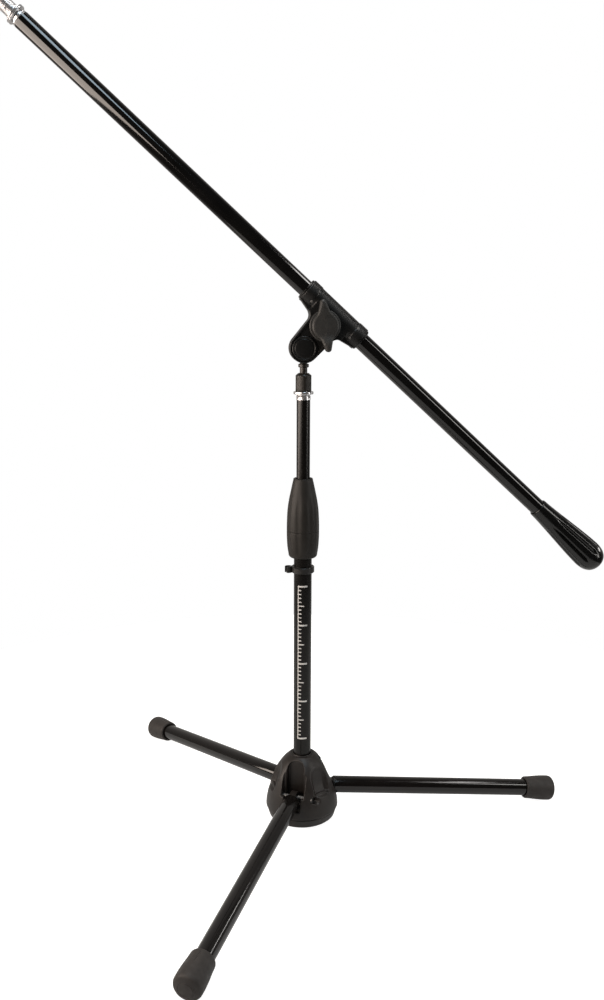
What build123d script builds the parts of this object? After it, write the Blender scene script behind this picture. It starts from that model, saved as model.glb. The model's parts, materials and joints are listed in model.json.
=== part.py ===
from build123d import *
import os
from math import cos, radians, sin

# Boom microphone stand, in millimetres. The origin is on the floor under the column, +Z is up,
# the boom lies in the XZ plane with its microphone end up towards -X, and the knob faces -Y.

# Column
LOWER_R = 10.75
LOWER_BORE_R = 9.5
LOWER_BOTTOM_Z = 20.0
LOWER_TOP_Z = 400.0
UPPER_R = 7.95
UPPER_WALL = 1.2
UPPER_BOTTOM_Z = 160.0
UPPER_TOP_Z = 538.0
THREAD_R = 7.94
RUNNING = 0.05
GAP = 0.3

# Leg base
HUB_R = 45.0
HUB_BOTTOM_Z = 27.7
HUB_TOP_Z = 96.4
HUB_NECK_R = 16.0
HUB_SLOT_R = 18.6
PANEL_R = 36.6
PANEL_LEAN = 21.0
PLATE_BOTTOM_Z = 15.0
PLATE_R = 44.0
PLATE_SCREW_R = 26.0
NECK_RING_R = 12.9
NECK_RING_BOTTOM_Z = 88.0
LEG_AZIMUTHS = {"right": 7.0, "left": 127.0, "front": 247.0}
LEG_PIVOT_R = 30.0
LEG_PIVOT_Z = 50.7
LEG_SLOPE = 6.75
LEG_R = 10.4
LEG_WALL = 1.2
LEG_LENGTH = 314.0
LEG_SLOT_WIDTH = 22.0
LEG_RELIEF_WIDTH = 29.0
PIN_R = 3.0
PIN_REACH = 24.0
PIN_HEAD_R = 4.1
PIN_HEAD_START = 21.2
PLUG_LENGTH = 40.0
TUBE_START = 10.0
FOOT_FLOOR = 6.0
FOOT_LENGTH = 41.0
FOOT_MOUTH_R = 13.6
FOOT_R = 15.8

# Quarter-turn clutch and cable clip
GRIP_BOTTOM_Z = 349.3
GRIP_SEAM_Z = 382.0
GRIP_TOP_Z = 445.5
CORE_BOTTOM_Z = 378.0
CORE_TOP_Z = 425.0
CORE_R = 13.0
COLLET_TOP_Z = 435.0
COLLET_R = 9.3
GRIP_MAX_R = 19.4
GRIP_THROAT_R = 8.6
GRIP_CHAMBER_R = 11.6
CLIP_BOTTOM_Z = 330.7
CLIP_TOP_Z = 338.1
CLIP_R = 13.8
CABLE_X = -17.2
CABLE_R = 2.9
CABLE_WALL = 1.6

# Column top
STUD_BOTTOM_Z = 515.0
STUD_COLLAR_R = 8.3
STUD_TOP_Z = 562.4
LOCK_RING_R = 11.7
LOCK_RING_Z = 544.4
LOCK_RING_HEIGHT = 3.2
SOCKET_R = 9.3
SOCKET_TOP_Z = 568.8
NECK_R = 4.4
PIVOT_Z = 597.2
DISC_R = 16.2
DISC_HALF = 3.7
WASHER_R = 14.6
WASHER = 0.8
BOLT_R = 4.0

# Boom head: "along" runs with the boom to the microphone end, "out" runs from the pivot to the boom
BOOM_TILT = 42.3
KNOB_OUT = 34.5
BOOM_OUT = 51.1
HEAD_HALF_DEPTH = 13.5
HEAD_R = 16.8
CLAMP_R = 13.5
CLAMP_COLLAR_R = 14.2
CLAMP_HALF = 41.5
CLAMP_BORE_R = 11.25
CLAMP_SCREW_ALONG = 30.0
COLLAR_LENGTH = 12.0
PANEL_DEPTH = 1.5
COVER_R = 14.2
COVER_HEIGHT = 2.8
LIP_R = 12.9
KNOB_SCREW_R = 3.9
KNOB_LEAN = 7.0
KNOB_R = 15.7
KNOB_TIP = 25.6
KNOB_TIP_R = 3.8
BEZEL_R = 18.0

# Boom
BOOM_R = 9.85
BOOM_WALL = 1.0
BOOM_MIC_END = 453.7
HANDLE_START = 339.1
HANDLE_LENGTH = 108.4
HANDLE_R = 18.0
NOSE_END = 479.6
NOSE_BORE_R = 4.5
NOSE_RELIEF_R = 7.6
SHOULDER_END = 456.4
MIC_RING_START = 458.8
MIC_RING_HEIGHT = 5.6
HANDLE_SOCKET = 61.0
FLUTES = 8
FLUTE_R = 3.6

along = Vector(-cos(radians(BOOM_TILT)), 0, sin(radians(BOOM_TILT)))
out = Vector(sin(radians(BOOM_TILT)), 0, cos(radians(BOOM_TILT)))
pivot = Vector(0, 0, PIVOT_Z)
HEAD = Plane(origin=pivot, x_dir=along, z_dir=(0, 1, 0))
BOOM = Plane(origin=pivot + out * BOOM_OUT, x_dir=(0, 1, 0), z_dir=along)
HANDLE = Plane(origin=BOOM.origin - along * HANDLE_START, x_dir=(0, 1, 0), z_dir=-along)


def save(builder, name):
    """Labels a finished piece and writes it."""
    builder.part.label = name
    export_step(builder.part, f"parts/{name}.step")


def spin(axis, outline, mode=Mode.ADD):
    """Revolves (radius, height) corners about a plane's normal."""
    with BuildSketch(Plane(origin=axis.origin, x_dir=axis.x_dir, z_dir=-axis.y_dir)) as profile:
        with BuildLine():
            Polyline(*outline, close=True)
        make_face()
    revolve(profile.sketch, axis=Axis(axis.origin, axis.z_dir), mode=mode)


def tube(axis, start, end, outer, inner):
    """A plain tube along a plane's normal."""
    with BuildPart() as part:
        spin(axis, [(inner, start), (outer, start), (outer, end), (inner, end)])
    return part


def rod(plane, radius, start, end, mode=Mode.ADD):
    """A cylinder along a plane's normal, made inside the part that is open."""
    with BuildSketch(plane.offset(start)) as disc:
        Circle(radius)
    extrude(disc.sketch, amount=end - start, mode=mode)


def leg_plane(azimuth):
    """A frame at a leg's hinge: its normal runs along the leg and its x runs along the hinge pin."""
    a = radians(azimuth)
    s = radians(LEG_SLOPE)
    return Plane(
        origin=(LEG_PIVOT_R * cos(a), LEG_PIVOT_R * sin(a), LEG_PIVOT_Z),
        x_dir=(-sin(a), cos(a), 0),
        z_dir=(cos(a) * cos(s), sin(a) * cos(s), -sin(s)),
    )


def pin_plane(azimuth):
    """A frame at a leg's hinge whose normal runs along the hinge pin."""
    a = radians(azimuth)
    origin = (LEG_PIVOT_R * cos(a), LEG_PIVOT_R * sin(a), LEG_PIVOT_Z)
    return Plane(origin=origin, x_dir=(0, 0, 1), z_dir=(-sin(a), cos(a), 0))


def arch(azimuth, start_r, width, bottom, height, lean=0):
    """Cuts an arched slot that runs outwards from start_r; its back wall leans inwards by lean."""
    a = radians(azimuth)
    tip = radians(lean)
    face = Plane(
        origin=(start_r * cos(a), start_r * sin(a), bottom),
        x_dir=(-sin(a), cos(a), 0),
        z_dir=(cos(a) * cos(tip), sin(a) * cos(tip), sin(tip)),
    )
    spring = height - width / 2
    with BuildSketch(face) as opening:
        with BuildLine():
            Line((-width / 2, 0), (width / 2, 0))
            Line((width / 2, 0), (width / 2, spring))
            ThreePointArc((width / 2, spring), (0, height), (-width / 2, spring))
            Line((-width / 2, spring), (-width / 2, 0))
        make_face()
    extrude(opening.sketch, amount=HUB_R, mode=Mode.SUBTRACT)


def make_hub():
    """The moulded dome: three arched leg slots with wider reliefs, panels between them, pin holes."""
    with BuildPart() as hub:
        with BuildSketch(Plane.XZ) as profile:
            with BuildLine():
                Line((0, HUB_BOTTOM_Z), (HUB_R, HUB_BOTTOM_Z))
                Spline(
                    (HUB_R, HUB_BOTTOM_Z),
                    (42.9, 45),
                    (39.0, 59),
                    (31.8, 77),
                    (26.0, 86),
                    (HUB_NECK_R + 2, 94.4),
                    tangents=[(0, 1), (-0.9, 0.7)],
                )
                ThreePointArc(
                    (HUB_NECK_R + 2, 94.4), (HUB_NECK_R + 0.3, HUB_TOP_Z - 0.5), (HUB_NECK_R - 1, HUB_TOP_Z)
                )
                Line((HUB_NECK_R - 1, HUB_TOP_Z), (0, HUB_TOP_Z))
                Line((0, HUB_TOP_Z), (0, HUB_BOTTOM_Z))
            make_face()
        revolve(profile.sketch, axis=Axis.Z)
        rod(Plane.XY, LOWER_R, 0, 100, Mode.SUBTRACT)
        # the neck ring sits in a counterbore round the tube
        rod(Plane.XY, NECK_RING_R + 0.1, NECK_RING_BOTTOM_Z, 100, Mode.SUBTRACT)
        for azimuth in LEG_AZIMUTHS.values():
            arch(azimuth, HUB_SLOT_R, LEG_SLOT_WIDTH, 37.5, 56.5)
            arch(azimuth, 27.0, LEG_RELIEF_WIDTH, 53.0, 38.0)
            rod(pin_plane(azimuth), PIN_R + RUNNING, -PIN_REACH, PIN_REACH, Mode.SUBTRACT)
            rod(pin_plane(azimuth), PIN_HEAD_R + 0.2, PIN_HEAD_START - 0.2, 40.0, Mode.SUBTRACT)
            arch(azimuth + 60, PANEL_R, 24.0, 56.0, 31.0, PANEL_LEAN)
    return hub


def make_base_plate():
    """The ring that closes the hub from below, with a scalloped lower edge."""
    below = Plane.XY.offset(PLATE_BOTTOM_Z - 1)
    with BuildPart() as plate:
        rim = [(0, PLATE_BOTTOM_Z), (38, PLATE_BOTTOM_Z), (41, 17.5), (PLATE_R, 27.3),
               (PLATE_R, HUB_BOTTOM_Z), (0, HUB_BOTTOM_Z)]
        spin(Plane.XY, rim)
        rod(Plane.XY, LOWER_R, 0, 40, Mode.SUBTRACT)
        with BuildSketch(below) as notches:
            with PolarLocations(42.0, 24):
                Circle(2.6)
        extrude(notches.sketch, amount=3.2, mode=Mode.SUBTRACT)
        for azimuth in LEG_AZIMUTHS.values():
            with BuildSketch(below) as heads:
                with PolarLocations(PLATE_SCREW_R, 1, start_angle=azimuth + 60):
                    Circle(3.6)
            extrude(heads.sketch, amount=4.2, mode=Mode.SUBTRACT)
            with BuildSketch(below) as holes:
                with PolarLocations(PLATE_SCREW_R, 1, start_angle=azimuth + 60):
                    Circle(1.75)
            extrude(holes.sketch, amount=20, mode=Mode.SUBTRACT)
    return plate


def make_base_screws():
    """Three screws that hold the plate to the hub, heads in their counterbores."""
    with BuildPart() as screws:
        for azimuth in LEG_AZIMUTHS.values():
            a = radians(azimuth + 60)
            foot = Plane(origin=(PLATE_SCREW_R * cos(a), PLATE_SCREW_R * sin(a), 0))
            spin(foot, [(0, 16.0), (3.3, 16.0), (3.3, 18.2), (1.7, 18.2), (1.7, 27.6), (0, 27.6)])
            with BuildSketch(foot.offset(15.5)) as drive:
                Rectangle(4.4, 0.9)
                Rectangle(0.9, 4.4)
            extrude(drive.sketch, amount=1.6, mode=Mode.SUBTRACT)
    return screws


def make_neck_ring():
    """The collar that locks the lower tube in the hub's top."""
    with BuildPart() as ring:
        spin(
            Plane.XY,
            [(LOWER_R, NECK_RING_BOTTOM_Z), (NECK_RING_R, NECK_RING_BOTTOM_Z), (NECK_RING_R, 96.2),
             (NECK_RING_R - 0.7, 97.2), (NECK_RING_R - 1.3, 97.2), (LOWER_R, 95.4)],
        )
    return ring


def make_leg_pins():
    """Three hinge pins with slotted heads, one across each leg slot."""
    with BuildPart() as pins:
        for azimuth in LEG_AZIMUTHS.values():
            plane = pin_plane(azimuth)
            rod(plane, PIN_R, -PIN_REACH, PIN_HEAD_START)
            rod(plane, PIN_HEAD_R, PIN_HEAD_START, PIN_HEAD_START + 2.4)
            with BuildSketch(plane.offset(PIN_HEAD_START + 1.6)) as slot:
                Rectangle(6.4, 1.0)
            extrude(slot.sketch, amount=2.0, mode=Mode.SUBTRACT)
    return pins


def make_leg_root(azimuth):
    """The moulded hinge end of a leg: a ball-ended barrel with a plug inside the tube."""
    plane = leg_plane(azimuth)
    bore = LEG_R - LEG_WALL
    with BuildPart() as root:
        with BuildSketch(Plane(origin=plane.origin, x_dir=plane.x_dir, z_dir=-plane.y_dir)) as profile:
            with BuildLine():
                Line((0, -LEG_R), (0, PLUG_LENGTH))
                Line((0, PLUG_LENGTH), (bore - 1.0, PLUG_LENGTH))
                Line((bore - 1.0, PLUG_LENGTH), (bore, PLUG_LENGTH - 2))
                Line((bore, PLUG_LENGTH - 2), (bore, TUBE_START))
                Line((bore, TUBE_START), (LEG_R, TUBE_START))
                Line((LEG_R, TUBE_START), (LEG_R, 0))
                ThreePointArc(
                    (LEG_R, 0), (LEG_R * cos(radians(45)), -LEG_R * sin(radians(45))), (0, -LEG_R)
                )
            make_face()
        revolve(profile.sketch, axis=Axis(plane.origin, plane.z_dir))
        rod(pin_plane(azimuth), PIN_R + RUNNING, -20, 20, Mode.SUBTRACT)
    return root


def make_foot(azimuth):
    """A rubber boot over the leg's end, domed, with the small flat that it stands on."""
    plane = leg_plane(azimuth)
    start = LEG_LENGTH - FOOT_LENGTH
    with BuildPart() as foot:
        with BuildSketch(Plane(origin=plane.origin, x_dir=plane.x_dir, z_dir=-plane.y_dir)) as profile:
            with BuildLine():
                Line((LEG_R, start), (FOOT_MOUTH_R - 0.8, start))
                Line((FOOT_MOUTH_R - 0.8, start), (FOOT_MOUTH_R, start + 0.8))
                Line((FOOT_MOUTH_R, start + 0.8), (FOOT_R, LEG_LENGTH - 15))
                Line((FOOT_R, LEG_LENGTH - 15), (FOOT_R, LEG_LENGTH - 8))
                ThreePointArc(
                    (FOOT_R, LEG_LENGTH - 8),
                    (FOOT_R - 2.0, LEG_LENGTH - 3.1),
                    (FOOT_R - 7.5, LEG_LENGTH - 0.6),
                )
                Line((FOOT_R - 7.5, LEG_LENGTH - 0.6), (6.0, LEG_LENGTH))
                Line((6.0, LEG_LENGTH), (0, LEG_LENGTH))
                Line((0, LEG_LENGTH), (0, LEG_LENGTH - FOOT_FLOOR))
                Line((0, LEG_LENGTH - FOOT_FLOOR), (LEG_R, LEG_LENGTH - FOOT_FLOOR))
                Line((LEG_R, LEG_LENGTH - FOOT_FLOOR), (LEG_R, start))
            make_face()
        revolve(profile.sketch, axis=Axis(plane.origin, plane.z_dir))
        with BuildSketch(Plane.XY.offset(-10)) as ground:
            Rectangle(900, 900)
        extrude(ground.sketch, amount=10, mode=Mode.SUBTRACT)
    return foot


def make_leg(name, azimuth):
    """One leg: hinge root, tube and rubber foot."""
    save(make_leg_root(azimuth), f"leg_root_{name}")
    leg = tube(leg_plane(azimuth), TUBE_START, LEG_LENGTH - FOOT_FLOOR, LEG_R, LEG_R - LEG_WALL)
    save(leg, f"leg_tube_{name}")
    save(make_foot(azimuth), f"rubber_foot_{name}")


def make_cable_clip():
    """A ring that slides on the lower tube, with an open C for the cable on its -X side."""
    middle = (CLIP_BOTTOM_Z + CLIP_TOP_Z) / 2
    half = (CLIP_TOP_Z - CLIP_BOTTOM_Z) / 2
    with BuildPart() as clip:
        bore = LOWER_R + 0.08
        spin(
            Plane.XY.offset(middle),
            [(bore, -half), (CLIP_R - 0.7, -half), (CLIP_R, 0.7 - half), (CLIP_R, half - 0.7),
             (CLIP_R - 0.7, half), (bore, half)],
        )
        with BuildSketch(Plane.XY.offset(CLIP_BOTTOM_Z)) as jaw:
            with Locations((CABLE_X, 0)):
                Circle(CABLE_R + CABLE_WALL)
                Circle(CABLE_R, mode=Mode.SUBTRACT)
            with Locations((CABLE_X - 3.5, -2.0)):
                Rectangle(6.0, 3.4, rotation=30, mode=Mode.SUBTRACT)
            Circle(bore + 0.6, mode=Mode.SUBTRACT)
        extrude(jaw.sketch, amount=2 * half)
    return clip


def make_clutch_core():
    """The threaded body on the lower tube's top, inside the grip."""
    with BuildPart() as core:
        spin(
            Plane.XY,
            [(LOWER_R, CORE_BOTTOM_Z), (CORE_R, CORE_BOTTOM_Z), (CORE_R, CORE_TOP_Z), (9.6, CORE_TOP_Z),
             (9.6, LOWER_TOP_Z), (LOWER_R, LOWER_TOP_Z)],
        )
    return core


def make_collet():
    """The split sleeve that grips the upper tube, with a flange above the core."""
    inner = UPPER_R + RUNNING
    with BuildPart() as collet:
        spin(
            Plane.XY,
            [(inner, 402), (COLLET_R, 402), (COLLET_R, CORE_TOP_Z + GAP), (11.2, CORE_TOP_Z + GAP),
             (11.2, 431), (COLLET_R, COLLET_TOP_Z - 1), (COLLET_R, COLLET_TOP_Z), (inner, COLLET_TOP_Z)],
        )
        with BuildSketch(Plane.XY.offset(400)) as slots:
            with PolarLocations(9.0, 2):
                Rectangle(8, 1.6)
        extrude(slots.sketch, amount=20, mode=Mode.SUBTRACT)
    return collet


def make_grip_lower():
    """The lower cup of the clutch grip, below the seam."""
    with BuildPart() as cup:
        with BuildSketch(Plane.XZ) as profile:
            with BuildLine():
                Line((LOWER_R + GAP, GRIP_BOTTOM_Z), (13.5, GRIP_BOTTOM_Z))
                ThreePointArc((13.5, GRIP_BOTTOM_Z), (16.4, 350.6), (17.3, 354.0))
                ThreePointArc((17.3, 354.0), (18.9, 367.0), (GRIP_MAX_R, GRIP_SEAM_Z - 0.4))
                Line((GRIP_MAX_R, GRIP_SEAM_Z - 0.4), (GRIP_MAX_R - 0.4, GRIP_SEAM_Z))
                Line((GRIP_MAX_R - 0.4, GRIP_SEAM_Z), (CORE_R + GAP, GRIP_SEAM_Z))
                Line((CORE_R + GAP, GRIP_SEAM_Z), (CORE_R + GAP, CORE_BOTTOM_Z - 1))
                Line((CORE_R + GAP, CORE_BOTTOM_Z - 1), (LOWER_R + GAP, CORE_BOTTOM_Z - 1))
                Line((LOWER_R + GAP, CORE_BOTTOM_Z - 1), (LOWER_R + GAP, GRIP_BOTTOM_Z))
            make_face()
        revolve(profile.sketch, axis=Axis.Z)
    return cup


def make_grip_upper():
    """The long upper part of the clutch grip, narrowing to the upper tube."""
    inside_top = CORE_TOP_Z + 0.4
    chamber_top = COLLET_TOP_Z + 1.5
    with BuildPart() as sleeve:
        with BuildSketch(Plane.XZ) as profile:
            with BuildLine():
                Line((CORE_R + GAP, GRIP_SEAM_Z), (GRIP_MAX_R - 0.4, GRIP_SEAM_Z))
                Line((GRIP_MAX_R - 0.4, GRIP_SEAM_Z), (GRIP_MAX_R, GRIP_SEAM_Z + 0.4))
                Spline(
                    (GRIP_MAX_R, GRIP_SEAM_Z + 0.4),
                    (18.4, 409.0),
                    (14.1, 432.5),
                    (11.6, GRIP_TOP_Z - 1.2),
                    tangents=[(0.02, 1), (-0.22, 1)],
                )
                ThreePointArc((11.6, GRIP_TOP_Z - 1.2), (11.2, GRIP_TOP_Z - 0.3), (10.4, GRIP_TOP_Z))
                Line((10.4, GRIP_TOP_Z), (GRIP_THROAT_R, GRIP_TOP_Z))
                Line((GRIP_THROAT_R, GRIP_TOP_Z), (GRIP_THROAT_R, chamber_top))
                Line((GRIP_THROAT_R, chamber_top), (GRIP_CHAMBER_R, chamber_top))
                Line((GRIP_CHAMBER_R, chamber_top), (GRIP_CHAMBER_R, inside_top))
                Line((GRIP_CHAMBER_R, inside_top), (CORE_R + GAP, inside_top))
                Line((CORE_R + GAP, inside_top), (CORE_R + GAP, GRIP_SEAM_Z))
            make_face()
        revolve(profile.sketch, axis=Axis.Z)
    return sleeve


def make_thread_stud():
    """The chrome end of the upper tube: plug, shoulder and the standard stand thread."""
    bore = UPPER_R - UPPER_WALL
    with BuildPart() as stud:
        spin(
            Plane.XY,
            [(0, STUD_BOTTOM_Z), (bore, STUD_BOTTOM_Z), (bore, UPPER_TOP_Z), (STUD_COLLAR_R, UPPER_TOP_Z),
             (STUD_COLLAR_R, 543.2), (THREAD_R, 543.2), (THREAD_R, STUD_TOP_Z - 0.9),
             (THREAD_R - 0.7, STUD_TOP_Z), (0, STUD_TOP_Z)],
        )
    return stud


def make_lock_ring(axis, start, height, radius, bore):
    """A flat threaded ring with chamfered edges."""
    with BuildPart() as ring:
        spin(
            axis.offset(start),
            [(bore, 0), (radius - 0.5, 0), (radius, 0.5), (radius, height - 0.5),
             (radius - 0.5, height), (bore, height)],
        )
    return ring


def make_socket_nut():
    """The knurled nut under the boom head that screws on the stand thread."""
    bottom = LOCK_RING_Z + LOCK_RING_HEIGHT
    bore = THREAD_R + 0.02
    with BuildPart() as nut:
        spin(
            Plane.XY,
            [(bore, bottom), (SOCKET_R - 0.4, bottom), (SOCKET_R, bottom + 0.4),
             (SOCKET_R, SOCKET_TOP_Z - 2.6), (6.2, SOCKET_TOP_Z), (NECK_R, SOCKET_TOP_Z),
             (NECK_R, STUD_TOP_Z + 0.8), (bore, STUD_TOP_Z + 0.8)],
        )
    return nut


def make_pivot_post():
    """The neck, flange and round tongue that the boom head tilts on."""
    with BuildPart() as post:
        spin(
            Plane.XY,
            [(0, STUD_TOP_Z + 0.8), (NECK_R, STUD_TOP_Z + 0.8), (NECK_R, 575.3), (5.6, 575.3),
             (6.15, 575.9), (6.15, 578.8), (5.6, 579.4), (NECK_R, 579.4), (NECK_R - 1.0, 583), (0, 583)],
        )
        rod(HEAD, DISC_R, -DISC_HALF, DISC_HALF)
        rod(HEAD, BOLT_R + 0.06, -20, 20, Mode.SUBTRACT)
    return post


def make_friction_discs():
    """Thin fibre washers on both faces of the tongue."""
    with BuildPart() as discs:
        for side in (-1, 1):
            rod(HEAD, WASHER_R, side * DISC_HALF, side * (DISC_HALF + WASHER))
        rod(HEAD, BOLT_R + 0.3, -20, 20, Mode.SUBTRACT)
    return discs


def head_outline():
    """Half-width corners of the head's cheek, from the pivot's sides out to the boom clamp."""
    r = HEAD_R
    with BuildLine() as edge:
        ThreePointArc((-r, 0), (0, -r), (r, 0))
        Line((r, 0), (18.4, 27))
        ThreePointArc((18.4, 27), (20.6, 31.8), (25.5, 34.6))
        Line((25.5, 34.6), (CLAMP_HALF, 38.2))
        Line((CLAMP_HALF, 38.2), (CLAMP_HALF, BOOM_OUT))
        Line((CLAMP_HALF, BOOM_OUT), (-CLAMP_HALF, BOOM_OUT))
        Line((-CLAMP_HALF, BOOM_OUT), (-CLAMP_HALF, 38.2))
        Line((-CLAMP_HALF, 38.2), (-25.5, 34.6))
        ThreePointArc((-25.5, 34.6), (-20.6, 31.8), (-18.4, 27))
        Line((-18.4, 27), (-r, 0))
    make_face(edge.edges())


def clamp_screw_planes():
    """Where the clamp's small screws sit: two at each end of each shell, square to its surface."""
    for side in (-1, 1):
        for end in (-1, 1):
            for turn in (-30, 30):
                a = radians(turn)
                direction = Vector(0, side * cos(a), 0) + out * sin(a)
                origin = BOOM.origin + along * (end * CLAMP_SCREW_ALONG)
                yield side, Plane(origin=origin, x_dir=along, z_dir=direction)


def make_clamp_shell(side):
    """One cheek of the boom head with its half of the boom clamp; side is -1 in front, 1 behind."""
    face = HEAD.offset(side * HEAD_HALF_DEPTH)
    collar = CLAMP_HALF - COLLAR_LENGTH
    inner_face = DISC_HALF + WASHER + GAP
    with BuildPart() as shell:
        with BuildSketch(HEAD.offset(side * 0.2)) as cheek:
            head_outline()
        extrude(cheek.sketch, amount=side * (HEAD_HALF_DEPTH - 0.2))
        # the lugs under the clamp's ends are thinner than the cheek
        for end in (-1, 1):
            with BuildSketch(HEAD.offset(side * 9.0)) as step:
                with Locations((end * 34.5, 40)):
                    Rectangle(20, 30)
            extrude(step.sketch, amount=side * 10, mode=Mode.SUBTRACT)
        # a shallow panel inside the rim of the outer face
        with BuildSketch(face) as panel:
            Circle(HEAD_R - 2.2)
            with Locations((0, 22.8)):
                Rectangle(2 * (HEAD_R - 2.0), 45.6)
        extrude(panel.sketch, amount=-side * PANEL_DEPTH, mode=Mode.SUBTRACT)
        spin(BOOM, [(0, -CLAMP_HALF), (CLAMP_COLLAR_R, -CLAMP_HALF), (CLAMP_COLLAR_R, -collar),
                    (CLAMP_R, 0.7 - collar), (CLAMP_R, collar - 0.7), (CLAMP_COLLAR_R, collar),
                    (CLAMP_COLLAR_R, CLAMP_HALF), (0, CLAMP_HALF)])
        rod(BOOM, CLAMP_BORE_R, -60, 60, Mode.SUBTRACT)
        # room for the tongue, its washers and the neck below it, over the whole tilt
        rod(HEAD, DISC_R + 0.8, -side * 20, side * inner_face, Mode.SUBTRACT)
        with BuildSketch(HEAD.offset(-side * 20)) as notch:
            with Locations((0, -8)):
                Rectangle(44, 26.4)
        extrude(notch.sketch, amount=side * (20 + inner_face), mode=Mode.SUBTRACT)
        # only this side of the parting plane is kept
        with BuildSketch(HEAD.offset(side * 0.2)) as other:
            with Locations((0, 30)):
                Rectangle(120, 120)
        extrude(other.sketch, amount=-side * 30, mode=Mode.SUBTRACT)
        rod(HEAD, BOLT_R + 0.02, -30, 30, Mode.SUBTRACT)
        knob_axis = HEAD.shift_origin(pivot + out * KNOB_OUT)
        rod(knob_axis, KNOB_SCREW_R + 0.4, -30, 30, Mode.SUBTRACT)
        if side > 0:
            with BuildSketch(knob_axis.offset(8.5)) as pocket:
                RegularPolygon(7.6, 6)
            extrude(pocket.sketch, amount=10, mode=Mode.SUBTRACT)
        for screw_side, plane in clamp_screw_planes():
            if screw_side == side:
                rod(plane, 1.5, 10, 20, Mode.SUBTRACT)
    return shell


def make_clamp_screws():
    """The eight small screws in the clamp's end collars."""
    with BuildPart() as screws:
        for side, plane in clamp_screw_planes():
            rod(plane, 1.48, 11.4, 14.1)
            with BuildSketch(plane.offset(13.5)) as drive:
                Rectangle(2.2, 0.5)
            extrude(drive.sketch, amount=2, mode=Mode.SUBTRACT)
    return screws


def make_pivot_cover(side):
    """The round cap over one end of the pivot bolt, with a ring groove."""
    floor = HEAD_HALF_DEPTH - PANEL_DEPTH
    top = floor + COVER_HEIGHT
    axis = HEAD if side > 0 else Plane(origin=pivot, x_dir=along, z_dir=(0, -1, 0))
    with BuildPart() as cover:
        spin(axis, [(0, floor), (COVER_R, floor), (COVER_R, top - 0.6), (COVER_R - 0.6, top),
                    (12.0, top), (11.6, top - 0.8), (11.0, top - 0.8), (10.6, top), (0, top)])
    return cover


def make_pivot_bolt():
    """The bolt that the head tilts on, between the two caps."""
    with BuildPart() as bolt:
        rod(HEAD, BOLT_R, PANEL_DEPTH - HEAD_HALF_DEPTH, HEAD_HALF_DEPTH - PANEL_DEPTH)
    return bolt


def make_knob_bezel():
    """The round boss under the wing knob."""
    front = Plane(origin=pivot + out * KNOB_OUT, x_dir=along, z_dir=(0, -1, 0))
    with BuildPart() as bezel:
        spin(front, [(KNOB_SCREW_R + 0.4, 12.0), (10, 12.0), (10, 13.5), (BEZEL_R, 13.5), (BEZEL_R, 15.6),
                     (BEZEL_R - 1.0, 16.6), (KNOB_SCREW_R + 0.4, 16.6)])
        # scooped where the clamp barrel passes behind the boss
        rod(BOOM, CLAMP_R + 0.02, -60, 60, Mode.SUBTRACT)
    return bezel


def knob_plane():
    """A frame on the knob's axis whose x points along the upper wing."""
    a = radians(KNOB_LEAN)
    return Plane(origin=pivot + out * KNOB_OUT, x_dir=(-sin(a), 0, cos(a)), z_dir=(0, -1, 0))


def make_wing_knob():
    """The round knob with two tapered wings."""
    plane = knob_plane()
    with BuildPart() as knob:
        spin(plane, [(0, 17), (KNOB_R - 0.8, 17), (KNOB_R, 17.8), (KNOB_R, 22.4), (KNOB_R - 1.6, 24),
                     (0, 25)])
        with BuildSketch(plane.offset(18.2)) as wings:
            for end in (-1, 1):
                with BuildLine():
                    Line((0, -9.5), (end * KNOB_TIP, -KNOB_TIP_R))
                    ThreePointArc(
                        (end * KNOB_TIP, -KNOB_TIP_R), (end * (KNOB_TIP + KNOB_TIP_R), 0),
                        (end * KNOB_TIP, KNOB_TIP_R),
                    )
                    Line((end * KNOB_TIP, KNOB_TIP_R), (0, 9.5))
                    Line((0, 9.5), (0, -9.5))
                make_face()
        extrude(wings.sketch, amount=10.5)
        rod(plane, KNOB_SCREW_R - 0.05, 0, 22, Mode.SUBTRACT)
    return knob


def make_knob_screw():
    """The long screw moulded into the knob, through both cheeks."""
    with BuildPart() as screw:
        rod(HEAD.shift_origin(pivot + out * KNOB_OUT), KNOB_SCREW_R - 0.05, -22, 15.2)
    return screw


def make_knob_nut():
    """The captive hexagon nut behind the head."""
    axis = HEAD.shift_origin(pivot + out * KNOB_OUT)
    with BuildPart() as nut:
        with BuildSketch(axis.offset(8.5)):
            RegularPolygon(7.5, 6)
            Circle(KNOB_SCREW_R, mode=Mode.SUBTRACT)
        extrude(amount=5.8)
    return nut


def make_boom_bushing():
    """The split plastic sleeve between the clamp and the boom, with a lip at each end."""
    inner = BOOM_R + RUNNING
    outer = CLAMP_BORE_R - RUNNING
    lip = CLAMP_HALF + GAP
    with BuildPart() as bushing:
        spin(BOOM, [(inner, -lip - 1.8), (LIP_R - 0.7, -lip - 1.8), (LIP_R, -lip - 1.0), (LIP_R, -lip),
                    (outer, -lip), (outer, lip), (LIP_R, lip), (LIP_R, lip + 1.0),
                    (LIP_R - 0.7, lip + 1.8), (inner, lip + 1.8)])
        with BuildSketch(BOOM.offset(-60)) as slit:
            with Locations((-11, 0)):
                Rectangle(6, 1.6)
        extrude(slit.sketch, amount=120, mode=Mode.SUBTRACT)
    return bushing


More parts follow.
